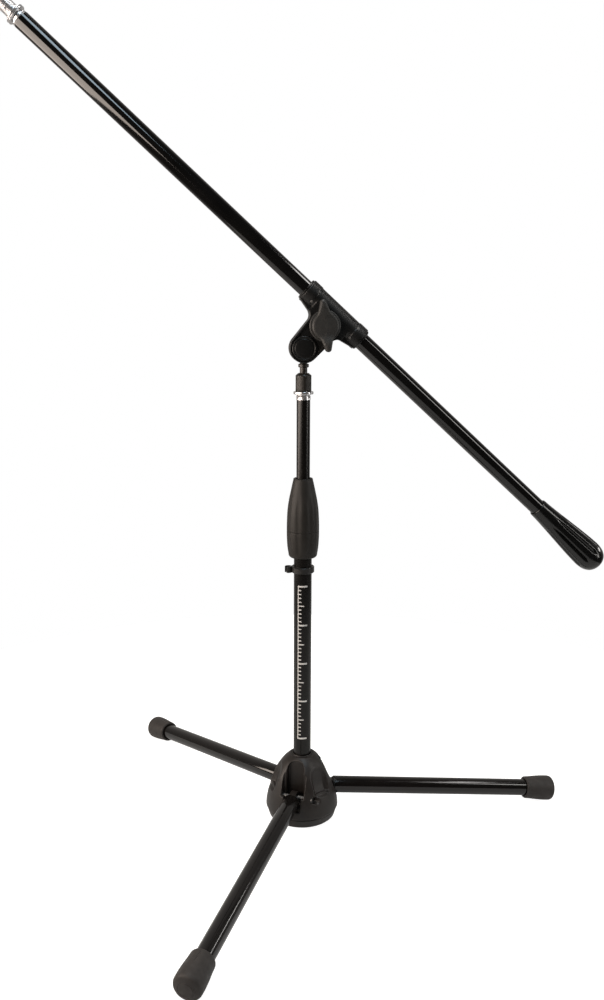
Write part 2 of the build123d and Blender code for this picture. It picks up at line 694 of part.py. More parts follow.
def make_mic_adaptor():
    """The chrome end fitting: plug in the tube, shoulder, relief and standard threaded nose."""
    bore = BOOM_R - BOOM_WALL
    with BuildPart() as adaptor:
        spin(BOOM, [(NOSE_BORE_R, 432), (bore, 432), (bore, BOOM_MIC_END), (9.6, BOOM_MIC_END),
                    (9.6, SHOULDER_END), (NOSE_RELIEF_R, SHOULDER_END), (NOSE_RELIEF_R, 465),
                    (THREAD_R, 465), (THREAD_R, NOSE_END - 0.8), (THREAD_R - 0.8, NOSE_END),
                    (NOSE_BORE_R, NOSE_END)])
        drill = Plane(origin=BOOM.origin + along * (NOSE_END - 6.6), x_dir=along, z_dir=(0, -1, 0))
        rod(drill, 1.1, 3, 12, Mode.SUBTRACT)
    return adaptor


def make_boom_handle():
    """The fluted counterweight handle on the boom's lower end."""
    end = HANDLE_LENGTH
    with BuildPart() as handle:
        with BuildSketch(Plane(origin=HANDLE.origin, x_dir=HANDLE.x_dir, z_dir=-HANDLE.y_dir)) as profile:
            with BuildLine():
                Line((BOOM_R, 0), (10.9, 0))
                Line((10.9, 0), (11.5, 0.8))
                Spline(
                    (11.5, 0.8), (12.6, 18), (15.6, 50), (17.8, 78), (HANDLE_R, 88),
                    tangents=[(0.03, 1), (0, 1)],
                )
                ThreePointArc((HANDLE_R, 88), (15.0, 101.0), (7.0, end - 0.5))
                Line((7.0, end - 0.5), (4.0, end))
                Line((4.0, end), (0, end))
                Line((0, end), (0, HANDLE_SOCKET))
                Line((0, HANDLE_SOCKET), (BOOM_R, HANDLE_SOCKET))
                Line((BOOM_R, HANDLE_SOCKET), (BOOM_R, 0))
            make_face()
        revolve(profile.sketch, axis=Axis(HANDLE.origin, HANDLE.z_dir))
        for turn in range(FLUTES):
            cut_flute(360 / FLUTES * turn)
    return handle


def cut_flute(turn):
    """Cuts one round-ended groove along the handle's taper, inside the part that is open."""
    a = radians(turn)
    radial = Vector(0, cos(a), 0) + out * sin(a)
    start = HANDLE.origin + HANDLE.z_dir * 30 + radial * 15.4
    finish = HANDLE.origin + HANDLE.z_dir * 86 + radial * 20.4
    run = finish - start
    side = HANDLE.z_dir.cross(radial)
    groove = Plane(origin=start, x_dir=side, z_dir=run)
    rod(groove, FLUTE_R, 0, run.length, Mode.SUBTRACT)
    for place in (start, finish):
        with Locations(Location(place)):
            Sphere(FLUTE_R, mode=Mode.SUBTRACT)


def main():
    os.makedirs("parts", exist_ok=True)
    save(make_hub(), "hub")
    save(make_base_plate(), "base_plate")
    save(make_base_screws(), "base_screws")
    save(make_neck_ring(), "neck_ring")
    save(make_leg_pins(), "leg_pins")
    save(tube(Plane.XY, LOWER_BOTTOM_Z, LOWER_TOP_Z, LOWER_R, LOWER_BORE_R), "lower_tube")
    save(make_clutch_core(), "clutch_core")
    for name, azimuth in LEG_AZIMUTHS.items():
        make_leg(name, azimuth)
    save(make_cable_clip(), "cable_clip")
    save(make_grip_lower(), "clutch_grip_lower")
    save(make_grip_upper(), "clutch_grip_upper")
    save(make_collet(), "clutch_collet")
    save(tube(Plane.XY, UPPER_BOTTOM_Z, UPPER_TOP_Z, UPPER_R, UPPER_R - UPPER_WALL), "upper_tube")
    save(tube(Plane.XY, UPPER_BOTTOM_Z, UPPER_BOTTOM_Z + 25, LOWER_BORE_R - 0.3, UPPER_R), "slide_bushing")
    save(make_thread_stud(), "thread_stud")
    ring = make_lock_ring(Plane.XY, LOCK_RING_Z, LOCK_RING_HEIGHT, LOCK_RING_R, THREAD_R + 0.02)
    save(ring, "lock_ring")
    save(make_socket_nut(), "socket_nut")
    save(make_pivot_post(), "pivot_post")
    save(make_friction_discs(), "friction_discs")
    save(make_clamp_shell(-1), "clamp_shell_front")
    save(make_clamp_shell(1), "clamp_shell_back")
    save(make_clamp_screws(), "clamp_screws")
    save(make_pivot_cover(-1), "pivot_cover_front")
    save(make_pivot_cover(1), "pivot_cover_back")
    save(make_pivot_bolt(), "pivot_bolt")
    save(make_knob_bezel(), "knob_bezel")
    save(make_knob_nut(), "knob_nut")
    save(make_wing_knob(), "wing_knob")
    save(make_knob_screw(), "knob_screw")
    save(make_boom_bushing(), "boom_bushing")
    boom = tube(BOOM, 1 - HANDLE_START - HANDLE_SOCKET, BOOM_MIC_END, BOOM_R, BOOM_R - BOOM_WALL)
    save(boom, "boom_tube")
    save(make_mic_adaptor(), "mic_adaptor")
    ring = make_lock_ring(BOOM, MIC_RING_START, MIC_RING_HEIGHT, LOCK_RING_R, NOSE_RELIEF_R + 0.02)
    save(ring, "mic_lock_ring")
    save(make_boom_handle(), "boom_handle")


main()
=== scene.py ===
import json
from math import atan2, cos, floor, hypot, pi, radians, sin

import bmesh
import bpy
from mathutils import Matrix, Vector


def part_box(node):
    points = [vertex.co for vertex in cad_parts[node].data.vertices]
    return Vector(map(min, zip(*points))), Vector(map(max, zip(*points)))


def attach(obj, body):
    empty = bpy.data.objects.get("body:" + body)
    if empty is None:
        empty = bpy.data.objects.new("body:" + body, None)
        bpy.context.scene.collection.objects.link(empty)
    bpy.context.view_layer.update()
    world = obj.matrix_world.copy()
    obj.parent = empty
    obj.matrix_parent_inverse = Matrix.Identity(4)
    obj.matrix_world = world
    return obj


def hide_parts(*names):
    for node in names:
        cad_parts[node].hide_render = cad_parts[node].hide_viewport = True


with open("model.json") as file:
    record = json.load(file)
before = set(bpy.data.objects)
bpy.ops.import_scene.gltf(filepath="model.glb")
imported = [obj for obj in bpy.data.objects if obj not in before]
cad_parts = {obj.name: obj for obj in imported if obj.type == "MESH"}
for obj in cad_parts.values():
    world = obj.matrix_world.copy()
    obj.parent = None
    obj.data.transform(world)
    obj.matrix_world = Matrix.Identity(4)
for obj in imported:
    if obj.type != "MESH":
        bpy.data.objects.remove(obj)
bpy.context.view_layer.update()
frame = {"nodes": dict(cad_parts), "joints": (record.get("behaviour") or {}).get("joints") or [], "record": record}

MM = 0.001
NODES = frame["nodes"]
JOINTS = {joint["name"]: joint for joint in frame["joints"]}

# Driving sizes of the stand, in millimetres
LOWER_R = 10.75
UPPER_R = 7.95
LEG_R = 10.4
LEG_WALL = 1.2
LEG_LENGTH = 314.0
LEG_SLOPE = radians(6.75)
FOOT_LENGTH = 41.0
FOOT_R = 15.8
THREAD_R = 7.94
THREAD_PITCH = 25.4 / 27
BOOM_R = 9.85
BOOM_WALL = 1.0
BOOM_MIC_END = 453.7
HANDLE_START = 339.1
HANDLE_LENGTH = 108.4
NOSE_END = 479.6
MIC_RING_START = 458.8
HEAD_HALF_DEPTH = 13.5
SEAM_Z = 382.0
KNOB_R = 15.7
KNOB_TIP = 25.6
KNOB_TIP_R = 3.8
KNOB_BASE = 11.0
KNOB_LEAN = 7.0
MARK_LOW = 120.0
MARK_HIGH = 315.0
SPLIT_Z = 27.6
SPLIT_DEPTH = 0.9
SPLIT_HALF = 1.4
WINDOW_HALF = 11.5
WINDOW_TOP = 88.0
WINDOW_DEPTH = 3.4
TONGUE_R = 7.6
FLOOR_R = 0.85
LEG_NAMES = ("right", "left", "front")

PIVOT = Vector(JOINTS["boom_tilt"]["pos_m"])
BOOM_CENTRE = Vector(JOINTS["boom_roll"]["pos_m"])
BOOM_AXIS = Vector(JOINTS["boom_slide"]["axis"]).normalized()
KNOB_CENTRE = Vector(JOINTS["knob_turn"]["pos_m"])
SLOTS = {part["node"]: part["material_slot"] for part in frame["record"]["subparts"]}
ROOT_SLOT = SLOTS["leg_root_front"]


# ---------------------------------------------------------------- geometry helpers

def axes(origin, z_axis, x_axis):
    """A frame at origin with z along z_axis and x as near x_axis as it can be."""
    z = Vector(z_axis).normalized()
    x = Vector(x_axis)
    x = (x - z * x.dot(z)).normalized()
    y = z.cross(x)
    turn = Matrix((x, y, z)).transposed().to_4x4()
    return Matrix.Translation(origin) @ turn


COLUMN = Matrix.Identity(4)
BOOM = axes(BOOM_CENTRE, BOOM_AXIS, (0, -1, 0))
HANDLE = axes(BOOM_CENTRE - BOOM_AXIS * HANDLE_START * MM, -BOOM_AXIS, (0, -1, 0))
HEAD_FRONT = axes(PIVOT, (0, -1, 0), (0, 0, 1))
HEAD_BACK = axes(PIVOT, (0, 1, 0), (0, 0, 1))


def leg_outward(name):
    """The level direction in which a leg stands out from the column."""
    return Vector((0, 0, 1)).cross(Vector(JOINTS[f"leg_{name}_fold"]["axis"]))


def leg_axes(name):
    """A frame at a leg's hinge with z along the leg and x up."""
    joint = JOINTS[f"leg_{name}_fold"]
    outward = leg_outward(name)
    along = outward * cos(LEG_SLOPE) - Vector((0, 0, 1)) * sin(LEG_SLOPE)
    return axes(Vector(joint["pos_m"]), along, (0, 0, 1))


def through(points, steps=6):
    """A smooth line through (radius, height) points."""
    line = []
    padded = [points[0]] + list(points) + [points[-1]]
    for a, b, c, d in zip(padded, padded[1:], padded[2:], padded[3:]):
        for i in range(steps):
            t = i / steps
            line.append(tuple(
                0.5 * (2 * q + (r - p) * t + (2 * p - 5 * q + 4 * r - s) * t ** 2
                       + (3 * q - p - 3 * r + s) * t ** 3)
                for p, q, r, s in zip(a, b, c, d)
            ))
    return line + [points[-1]]


def corner(centre, radius, start, end, steps=5):
    """Points of a quarter round or any other arc, angles in degrees."""
    turns = [radians(start + (end - start) * i / steps) for i in range(steps + 1)]
    return [(centre[0] + radius * cos(t), centre[1] + radius * sin(t)) for t in turns]


def finish_mesh(bm, name, place):
    """Turns a bmesh in millimetres into an object in the row frame, in metres."""
    bmesh.ops.remove_doubles(bm, verts=bm.verts, dist=0.001)
    bmesh.ops.recalc_face_normals(bm, faces=bm.faces)
    bm.transform(place @ Matrix.Scale(MM, 4))
    mesh = bpy.data.meshes.new(name)
    bm.to_mesh(mesh)
    bm.free()
    piece = bpy.data.objects.new(name, mesh)
    bpy.context.scene.collection.objects.link(piece)
    return piece


def lathe(name, place, outline, sides=96, shape=None, closed=True):
    """A turned piece from (radius, height) points in millimetres; shape(turn, r, h) may change r."""
    bm = bmesh.new()
    rings = []
    for r, h in outline:
        if r < 1e-6:
            rings.append([bm.verts.new((0, 0, h))])
            continue
        ring = []
        for i in range(sides):
            turn = 2 * pi * i / sides
            at = shape(turn, r, h) if shape else r
            ring.append(bm.verts.new((at * cos(turn), at * sin(turn), h)))
        rings.append(ring)
    pairs = list(zip(rings, rings[1:]))
    if closed and len(rings[0]) > 1 and len(rings[-1]) > 1:
        pairs.append((rings[-1], rings[0]))
    for low, high in pairs:
        if len(low) == 1 and len(high) == 1:
            continue
        for i in range(sides):
            j = (i + 1) % sides
            around = [low[i % len(low)], low[j % len(low)], high[j % len(high)], high[i % len(high)]]
            bm.faces.new(list(dict.fromkeys(around)))
    return finish_mesh(bm, name, place)


def applied(piece):
    """Replaces the piece's mesh with what its modifiers make of it."""
    bpy.context.view_layer.update()
    result = piece.evaluated_get(bpy.context.evaluated_depsgraph_get())
    mesh = bpy.data.meshes.new_from_object(result)
    piece.modifiers.clear()
    piece.data = mesh
    return piece


def drilled(piece, place, radius, reach):
    """Cuts a round hole through the piece along the place's z axis; sizes in millimetres."""
    bm = bmesh.new()
    bmesh.ops.create_cone(bm, cap_ends=True, segments=32, radius1=radius, radius2=radius, depth=2 * reach)
    cutter = finish_mesh(bm, "cutter", place)
    modifier = piece.modifiers.new("hole", "BOOLEAN")
    modifier.operation = "DIFFERENCE"
    modifier.solver = "EXACT"
    modifier.object = cutter
    applied(piece)
    bpy.data.objects.remove(cutter)
    return piece


def softened(name, nodes, voxel, passes):
    """A moulded copy of CAD nodes: their shape remeshed finely, with every edge rounded over."""
    bm = bmesh.new()
    for node in nodes:
        bm.from_mesh(NODES[node].data)
    mesh = bpy.data.meshes.new(name)
    bm.to_mesh(mesh)
    bm.free()
    piece = bpy.data.objects.new(name, mesh)
    bpy.context.scene.collection.objects.link(piece)
    remesh = piece.modifiers.new("voxels", "REMESH")
    remesh.mode = "VOXEL"
    remesh.voxel_size = voxel * MM
    smooth = piece.modifiers.new("round", "SMOOTH")
    smooth.factor = 0.5
    smooth.iterations = passes
    return applied(piece)


def shown(piece, body, slot, material, *nodes, smooth_angle=40):
    """Gives a piece its look and its body, and hides the CAD nodes it stands for; slot is not used."""
    piece.data.materials.clear()
    piece.data.materials.append(material)
    piece.data.shade_smooth()
    if smooth_angle:
        piece.data.set_sharp_from_angle(angle=radians(smooth_angle))
    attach(piece, body)
    if nodes:
        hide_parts(*nodes)
    return piece


def wave(x):
    """A triangle wave of period 1 from 0 to 1."""
    x = x - floor(x)
    return 1 - abs(2 * x - 1)


def ramp(x, low, high):
    """A smooth step from 0 at low to 1 at high."""
    t = min(max((x - low) / (high - low), 0.0), 1.0)
    return t * t * (3 - 2 * t)


# ---------------------------------------------------------------- materials

def new_material(name):
    material = bpy.data.materials.new(name)
    material.use_nodes = True
    tree = material.node_tree
    shader = tree.nodes["Principled BSDF"]
    coords = tree.nodes.new("ShaderNodeTexCoord")
    return material, tree, shader, coords.outputs["Object"]


def noise(tree, coords, per_metre, detail=4.0, roughness=0.55, stretch=None):
    """Noise whose features are 1/per_metre metres wide; stretch scales x, y, z first."""
    if stretch:
        mapping = tree.nodes.new("ShaderNodeMapping")
        mapping.inputs["Scale"].default_value = stretch
        tree.links.new(coords, mapping.inputs["Vector"])
        coords = mapping.outputs["Vector"]
    node = tree.nodes.new("ShaderNodeTexNoise")
    node.inputs["Scale"].default_value = per_metre
    node.inputs["Detail"].default_value = detail
    node.inputs["Roughness"].default_value = roughness
    tree.links.new(coords, node.inputs["Vector"])
    return node.outputs["Fac"]


def ramped(tree, value, stops):
    """A colour ramp over a value: stops are (position, colour)."""
    node = tree.nodes.new("ShaderNodeValToRGB")
    band = node.color_ramp
    band.elements[0].position, band.elements[0].color = stops[0][0], (*stops[0][1], 1)
    band.elements[1].position, band.elements[1].color = stops[-1][0], (*stops[-1][1], 1)
    for position, colour in stops[1:-1]:
        element = band.elements.new(position)
        element.color = (*colour, 1)
    tree.links.new(value, node.inputs["Fac"])
    return node.outputs["Color"]


def ranged(tree, value, low, high, start=0.3, end=0.7):
    """Maps a value from start..end to low..high."""
    node = tree.nodes.new("ShaderNodeMapRange")
    node.inputs["From Min"].default_value = start
    node.inputs["From Max"].default_value = end
    node.inputs["To Min"].default_value = low
    node.inputs["To Max"].default_value = high
    tree.links.new(value, node.inputs["Value"])
    return node.outputs["Result"]


def bumped(tree, shader, height, strength, distance):
    """Adds a bump of the height, distance in millimetres."""
    node = tree.nodes.new("ShaderNodeBump")
    node.inputs["Strength"].default_value = strength
    node.inputs["Distance"].default_value = distance * MM
    tree.links.new(height, node.inputs["Height"])
    tree.links.new(node.outputs["Normal"], shader.inputs["Normal"])


def scaled(colour, factor):
    return tuple(c * factor for c in colour)


def paint(name, colour, rough, peel, specular=0.5):
    """Enamel on steel: faint orange peel and a slight drift of colour and sheen."""
    material, tree, shader, coords = new_material(name)
    drift = noise(tree, coords, 35, 5)
    stops = [(0.3, scaled(colour, 0.75)), (0.62, scaled(colour, 1.15)), (0.8, scaled(colour, 1.6))]
    tree.links.new(ramped(tree, drift, stops), shader.inputs["Base Color"])
    smear = noise(tree, coords, 30, 2, 0.5, (1.0, 1.0, 0.35))
    tree.links.new(ranged(tree, smear, rough * 0.9, rough * 1.15), shader.inputs["Roughness"])
    shader.inputs["Specular IOR Level"].default_value = specular
    bumped(tree, shader, noise(tree, coords, 900, 2), peel, 0.03)
    return material


def plastic(name, colour, rough, grain_mm, depth, specular=0.5):
    """Moulded plastic: a fine spark-eroded grain, mottled sheen and faint rub marks."""
    material, tree, shader, coords = new_material(name)
    mottle = noise(tree, coords, 90, 6, 0.65)
    stops = [(0.25, scaled(colour, 0.78)), (0.55, colour), (0.8, scaled(colour, 1.35))]
    tree.links.new(ramped(tree, mottle, stops), shader.inputs["Base Color"])
    rub = noise(tree, coords, 90, 2)
    tree.links.new(ranged(tree, rub, rough * 0.93, rough * 1.08), shader.inputs["Roughness"])
    shader.inputs["Specular IOR Level"].default_value = specular
    grain = noise(tree, coords, 1000 / grain_mm, 3, 0.7)
    bumped(tree, shader, grain, 0.5, depth)
    return material


def rubber(name, colour):
    """Dull rubber: powdery bloom, fine pitting and darker patches at random."""
    material, tree, shader, coords = new_material(name)
    bloom = noise(tree, coords, 70, 7, 0.7)
    stops = [(0.28, scaled(colour, 0.7)), (0.55, colour), (0.78, scaled(colour, 1.5))]
    tree.links.new(ramped(tree, bloom, stops), shader.inputs["Base Color"])
    tree.links.new(ranged(tree, noise(tree, coords, 180, 4), 0.52, 0.74), shader.inputs["Roughness"])
    shader.inputs["Specular IOR Level"].default_value = 0.4
    shader.inputs["Sheen Weight"].default_value = 0.06
    shader.inputs["Sheen Roughness"].default_value = 0.5
    bumped(tree, shader, noise(tree, coords, 1600, 3, 0.7), 0.45, 0.05)
    return material


def metal(name, colour, rough, scratch, metallic):
    """Plated metal: faint ripples in the plating, a drift of sheen and a slight stain."""
    material, tree, shader, coords = new_material(name)
    stain = noise(tree, coords, 120, 5)
    stops = [(0.3, scaled(colour, 0.88)), (0.6, colour), (0.85, scaled(colour, 1.04))]
    tree.links.new(ramped(tree, stain, stops), shader.inputs["Base Color"])
    shader.inputs["Metallic"].default_value = metallic
    lines = noise(tree, coords, 250, 2, 0.5)
    tree.links.new(ranged(tree, lines, rough * 0.9, rough * 1.15), shader.inputs["Roughness"])
    bumped(tree, shader, lines, scratch, 0.02)
    return material


HUB = plastic("hub_plastic", (0.0135, 0.0106, 0.0090), 0.42, 0.55, 0.05, 0.36)
GRIP = plastic("grip_plastic", (0.0115, 0.0098, 0.0080), 0.5, 0.5, 0.03, 0.3)
KNOB_LOOK = plastic("knob_plastic", (0.0195, 0.0186, 0.0170), 0.5, 0.6, 0.04, 0.4)
SHELL = plastic("shell_plastic", (0.0034, 0.0032, 0.0030), 0.40, 1.2, 0.005, 0.36)
CLIP = plastic("clip_plastic", (0.008, 0.0075, 0.007), 0.4, 0.6, 0.03)
INNER = plastic("inner_plastic", (0.02, 0.02, 0.02), 0.5, 0.6, 0.02)
RUBBER = rubber("foot_rubber", (0.0195, 0.0160, 0.0140))
SATIN = paint("satin_black_paint", (0.0036, 0.0030, 0.0025), 0.25, 0.12, 0.3)
GLOSS = paint("gloss_black_paint", (0.0030, 0.0028, 0.0027), 0.085, 0.006)
LEG_LOOK = paint("leg_paint", (0.0048, 0.0040, 0.0036), 0.11, 0.01)
CHROME = metal("chrome", (0.60, 0.60, 0.61), 0.24, 0.003, 0.85)
STEEL = metal("steel", (0.16, 0.155, 0.15), 0.42, 0.05, 0.8)
SOCKET = metal("socket_metal", (0.010, 0.0075, 0.0050), 0.36, 0.1, 0.15)
HANDLE_LOOK = plastic("handle_gloss", (0.0034, 0.0033, 0.0033), 0.17, 3.0, 0.004, 0.45)
MARK = plastic("mark_paint", (0.6, 0.59, 0.57), 0.5, 0.8, 0.01)

LOOKS = {
    "hub_plastic": HUB, "grip_plastic": GRIP, "knob_plastic": KNOB_LOOK, "shell_plastic": SHELL,
    "clip_plastic": CLIP, "inner_plastic": INNER, "foot_rubber": RUBBER, "satin_black_paint": SATIN,
    "gloss_black_paint": GLOSS, "leg_paint": LEG_LOOK, "chrome": CHROME, "steel": STEEL,
    "socket_metal": SOCKET, "handle_gloss": HANDLE_LOOK,
}


def dress_cad_nodes():
    """Every CAD node that stays visible takes the material of its slot."""
    for node, slot in SLOTS.items():
        materials = NODES[node].data.materials
        materials.clear()
        materials.append(LOOKS[slot])


# ---------------------------------------------------------------- leg base

def carved(piece, depth_at):
    """Moves each vertex in towards the column by depth_at(azimuth, r, z), all in millimetres."""
    for vertex in piece.data.vertices:
        x, y, z = vertex.co / MM
        r = hypot(x, y)
        if r > 1:
            share = (r - depth_at(atan2(y, x), r, z)) / r
            vertex.co.x *= share
            vertex.co.y *= share


def split_groove(azimuth, r, z):
    """The groove where the hub meets the base plate."""
    return SPLIT_DEPTH * max(0.0, 1 - abs(z - SPLIT_Z) / SPLIT_HALF) if r > 35 else 0.0


def hub_relief(azimuth, r, z):
    """The scooped windows between the legs, and the groove above the base plate."""
    depth = split_groove(azimuth, r, z)
    for name in LEG_NAMES:
        outward = leg_outward(name)
        window = atan2(outward.y, outward.x) + pi / 3
        away = (azimuth - window + pi) % (2 * pi) - pi
        if cos(away) < 0.5 or r < 19:
            continue
        half = WINDOW_HALF * min(1.0, max(0.0, (WINDOW_TOP - z) / 16.0)) ** 0.5
        inside = 1 - ramp(abs(r * sin(away)), half - 3.5, half + 0.5)
        depth += WINDOW_DEPTH * inside * ramp(z, 52.6, 54.2) * (1 - ramp(z, 62, WINDOW_TOP))
    return depth


def make_hub():
    hub = softened("hub_moulding", ["hub"], 0.75, 5)
    carved(hub, hub_relief)
    shown(hub, "base", "hub_plastic", HUB, "hub", smooth_angle=None)
    plate = softened("base_plate_moulding", ["base_plate"], 0.6, 3)
    carved(plate, split_groove)
    shown(plate, "base", "hub_plastic", HUB, "base_plate", smooth_angle=None)


def make_leg_root(name, place, body):
    """A flat tongue round the hinge pin, running into a plug in the end of the leg tube."""
    bm = bmesh.new()
    side = [(TONGUE_R * sin(radians(t)), -TONGUE_R * cos(radians(t))) for t in range(-90, 91, 9)]
    side += [(TONGUE_R, 10.0), (-TONGUE_R, 10.0)]
    rings = []
    for inset, y in ((0.8, -4.2), (0.25, -3.95), (0, -3.4), (0, 3.4), (0.25, 3.95), (0.8, 4.2)):
        share = inset / TONGUE_R
        rings.append([bm.verts.new((x * (1 - share), y, z - share * min(z, 0))) for x, z in side])
    for low, high in zip(rings, rings[1:]):
        for i in range(len(side)):
            j = (i + 1) % len(side)
            bm.faces.new([low[i], low[j], high[j], high[i]])
    bm.faces.new(rings[0])
    bm.faces.new(rings[-1])
    tongue = finish_mesh(bm, f"leg_root_{name}_tongue", place)
    shown(tongue, body, ROOT_SLOT, LOOKS[ROOT_SLOT], f"leg_root_{name}")
    outline = [(0, 8.8), (8.6, 8.8), (9.3, 9.1), (9.6, 9.8), (9.6, 10.2), (9.15, 10.4), (9.15, 24), (0, 24)]
    plug = lathe(f"leg_root_{name}_plug", place, outline, 96, closed=False)
    shown(plug, body, ROOT_SLOT, LOOKS[ROOT_SLOT], f"leg_root_{name}")


def make_leg(name):
    place = leg_axes(name)
    body = f"leg_{name}"
    wall = LEG_R - LEG_WALL
    outline = (
        [(wall, 10.4), (LEG_R - 0.4, 10.4)] + corner((LEG_R - 0.4, 10.8), 0.4, -90, 0, 3)
        + [(LEG_R, 60 * i) for i in range(1, 5)] + [(LEG_R, LEG_LENGTH - 8), (wall, LEG_LENGTH - 8)]
    )
    tube = lathe(f"leg_{name}_tube", place, outline, 112)
    shown(tube, body, "leg_paint", LEG_LOOK, f"leg_tube_{name}")
    make_leg_root(name, place, body)
    make_foot(name, place, body)


def make_foot(name, place, body):
    """The rubber boot: rolled mouth, slow taper, rounded nose, and a mould seam on top."""
    start = LEG_LENGTH - FOOT_LENGTH
    end = LEG_LENGTH
    side = through([(13.2, start + 0.4), (13.9, start + 1.6), (14.3, start + 8), (15.2, start + 18),
                    (FOOT_R - 0.1, start + 26.5), (FOOT_R - 0.15, end - 7.6)], 9)
    nose = corner((FOOT_R - 5.65, end - 7.15), 5.5, 0, 66, 12)
    face = through([(11.4, end - 1.75), (8.9, end - 0.8), (8.3, end - 1.1), (7.5, end - 0.6),
                    (3, end - 0.25)], 5)
    mouth = [(LEG_R + 0.05, start + 4), (LEG_R + 0.05, start + 1.6), (LEG_R + 0.9, start + 0.25),
             (12.0, start + 0.02)]
    outline = mouth + side + nose + face[1:] + [(0, end - 0.1)]

    def seam(turn, r, h):
        across = min(turn, 2 * pi - turn) * r
        depth = 0.6 * ramp(h, start + 1, start + 3) * (1 - ramp(h, start + 16, start + 20))
        return r - depth * max(0.0, 1 - across / 1.0) if r > 12.5 else r

    foot = lathe(f"foot_{name}", place, outline, 144, seam, closed=False)
    # the sole is worn flat where it stands
    for vertex in foot.data.vertices:
        vertex.co.z = max(vertex.co.z, 0.0)
    shown(foot, body, "foot_rubber", RUBBER, f"rubber_foot_{name}")


# ---------------------------------------------------------------- column

def make_lower_tube():
    low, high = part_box("lower_tube")
    bottom, top = low.z / MM, high.z / MM
    outline = [(9.5, bottom), (LOWER_R, bottom), (LOWER_R, 200), (LOWER_R, top), (9.5, top)]
    shown(lathe("lower_tube_skin", COLUMN, outline, 128), "base", "satin_black_paint", SATIN, "lower_tube")
    make_height_marks()


def make_height_marks():
    """A plain printed scale up the front of the lower tube: a spine with long, middle and short bars."""
    bm = bmesh.new()
    radius = LOWER_R + 0.03
    left_turn = -pi / 2 - 0.0769 - 6.2 / LOWER_R

    def bar(reach, low, high):
        previous = None
        for i in range(13):
            turn = left_turn + reach / LOWER_R * i / 12
            pair = [bm.verts.new((radius * cos(turn), radius * sin(turn), z)) for z in (low, high)]
            if previous:
                bm.faces.new([previous[0], pair[0], pair[1], previous[1]])
            previous = pair

    for step in range(41):
        z = MARK_LOW + (MARK_HIGH - MARK_LOW) * step / 40
        reach = 12.0 if step % 10 == 0 else 8.0 if step % 5 == 0 else 4.6
        half = 1.0 if step % 10 == 0 else 0.7
        bar(reach, z - half, z + half)
    bar(1.1, MARK_LOW, MARK_HIGH)
    marks = finish_mesh(bm, "height_marks", COLUMN)
    shown(marks, "base", "chrome", MARK)


def make_upper_tube():
    low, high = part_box("upper_tube")
    bottom, top = low.z / MM, high.z / MM
    outline = [(6.75, bottom), (UPPER_R, bottom), (UPPER_R, 350), (UPPER_R, top - 0.3), (UPPER_R - 0.3, top),
               (6.75, top)]
    shown(lathe("upper_tube_skin", COLUMN, outline, 112), "upper_column", "satin_black_paint", SATIN,
          "upper_tube")


def panels(turn, r, h):
    """The grip's soft upright flutes, which fade out towards both ends."""
    if r < 12:
        return r
    fade = ramp(h, 351, 360) * (1 - ramp(h, 408, 434))
    flute = 0.5 - 0.5 * cos(8 * turn)
    return r - 0.75 * fade * flute ** 2.2


def make_grip():
    lower_side = [(LOWER_R + 0.35, 349.5), (13.2, 349.4)] + corner((13.3, 353.3), 3.9, -90, -8, 8)
    lower_side += through([(17.3, 354.2), (18.3, 360), (18.95, 367), (19.3, 375), (19.38, SEAM_Z - 0.9)], 8)
    lower_side += [(19.27, SEAM_Z - 0.22), (19.0, SEAM_Z - 0.04), (13.4, SEAM_Z - 0.04)]
    cup = lathe("grip_cup", COLUMN, lower_side, 160, panels, closed=False)
    shown(cup, "clutch_grip", "grip_plastic", GRIP, "clutch_grip_lower")
    upper = [(13.4, SEAM_Z + 0.04), (19.0, SEAM_Z + 0.04), (19.27, SEAM_Z + 0.22)]
    upper += through([(19.38, SEAM_Z + 0.9), (19.3, 390), (18.95, 400), (18.2, 410), (16.5, 421),
                      (14.2, 432), (12.5, 440), (11.55, 444)], 8)
    upper += corner((10.5, 444.3), 1.1, 0, 90, 5) + [(9.4, 445.4), (8.7, 444.9), (8.65, 436.6)]
    sleeve = lathe("grip_sleeve", COLUMN, upper, 160, panels, closed=False)
    shown(sleeve, "clutch_grip", "grip_plastic", GRIP, "clutch_grip_upper")


def thread(radius, start, end, depth=0.5):
    """A right-hand 60 degree thread that runs out at both ends."""
    def shape(turn, r, h):
        if r < radius - 0.9 or not start <= h <= end:
            return r
        fade = ramp(h, start, start + 0.8) * (1 - ramp(h, end - 0.8, end))
        crest = wave(h / THREAD_PITCH - turn / (2 * pi))
        return r - depth * fade * (1 - min(1.0, crest * 1.25))
    return shape


def steps_between(radius, start, end, per_mm=10):
    """Evenly spaced rings between two heights."""
    count = int((end - start) * per_mm)
    return [(radius, start + (end - start) * i / count) for i in range(count + 1)]


def make_thread_stud():
    outline = [(6.7, 516), (6.7, 538), (8.28, 538), (8.28, 542.4), (7.7, 543.1)]
    outline += [(7.6, 544.0)] + steps_between(THREAD_R, 544.0, 561.5, 8) + [(7.2, 562.3), (0, 562.3)]
    shown(lathe("stand_thread", COLUMN, [(0, 516)] + outline, 72, thread(THREAD_R, 544.0, 561.5)),
          "upper_column", "chrome", CHROME, "thread_stud")


